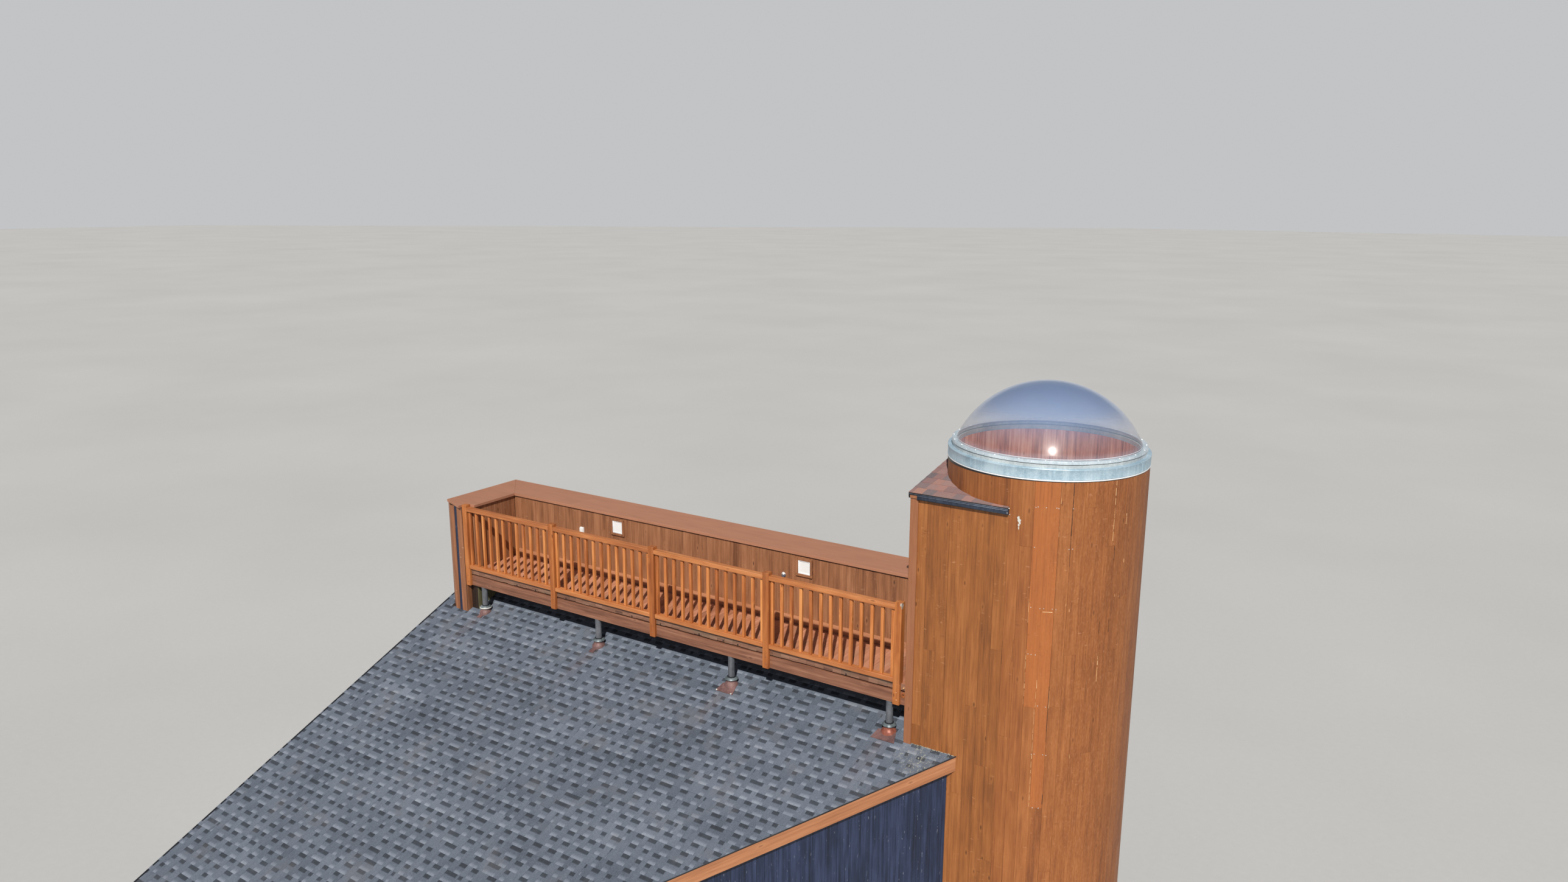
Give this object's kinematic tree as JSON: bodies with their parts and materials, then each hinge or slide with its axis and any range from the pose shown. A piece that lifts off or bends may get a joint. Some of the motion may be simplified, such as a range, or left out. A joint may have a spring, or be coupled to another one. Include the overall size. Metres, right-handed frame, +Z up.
{
  "type": "domed stair tower with roof deck",
  "caption": "Round board-clad tower with a clear dome and a squared entry corner, beside a shed-roofed wing that carries a railed roof deck.",
  "frame": {"origin": "on the round tower's axis, at ground level", "axes": "+Z up; +X along the deck, from its closed end to the tower; +Y from the deck's railing to its parapet"},
  "size_m": [10.3313, 7.7862, 12.02],
  "materials": {
    "orange_boards": "stained vertical boards",
    "orange_trim": "stained trim",
    "brown_boards": "stained boards",
    "pink_brown_boards": "painted boards",
    "plain_wood": "bare timber",
    "navy_boards": "painted vertical boards",
    "grey_shingles": "mineral-faced shingles",
    "brown_shingles": "mineral-faced shingles",
    "galvanised_metal": "weathered galvanised sheet",
    "aluminium_trim": "extruded trim",
    "clear_sheet": "clear acrylic sheet",
    "black_pipe": "painted pipe",
    "copper_flashing": "weathered flashing",
    "white_fittings": "matt",
    "concrete": "cast"
  },
  "bodies": {
    "root": {"tower_floor_slab": "concrete", "tower_wall_front": "orange_boards", "tower_wall_front_right": "orange_boards", "tower_wall_right": "orange_boards", "tower_wall_back_right": "orange_boards", "tower_wall_back": "orange_boards", "tower_wall_back_left": "orange_boards", "tower_wall_over_corner": "orange_boards", "landing_floor": "plain_wood", "corner_front_wall": "orange_boards", "corner_side_wall": "orange_boards", "corner_roof": "brown_shingles", "corner_board": "pink_brown_boards", "door_frame": "brown_boards", "door_leaf": "brown_boards", "metal_band": "galvanised_metal", "dome_curb": "plain_wood", "clear_dome": "clear_sheet", "clamp_ring": "aluminium_trim", "wing_floor_slab": "concrete", "wing_back_wall": "navy_boards", "wing_left_wall": "navy_boards", "wing_front_wall": "navy_boards", "wing_slanted_wall": "navy_boards", "wing_roof": "grey_shingles", "fascia_boards": "orange_trim", "parapet_inner_wall": "brown_boards", "parapet_end_outer": "navy_boards", "parapet_end_inner": "brown_boards", "parapet_end_box": "orange_trim", "parapet_cap_back": "pink_brown_boards", "parapet_cap_end": "pink_brown_boards", "deck_floor": "pink_brown_boards", "rim_board": "brown_boards", "deck_joists": "plain_wood", "kick_board": "pink_brown_boards", "pipe_posts": "black_pipe", "pipe_flashings": "copper_flashing", "rail_posts": "orange_trim", "rail_panel_1": "orange_trim", "rail_panel_2": "orange_trim", "rail_panel_3": "orange_trim", "rail_panel_4": "orange_trim", "wall_lights": "white_fittings", "outlet_and_fitting": "white_fittings"}
  },
  "joints": []
}
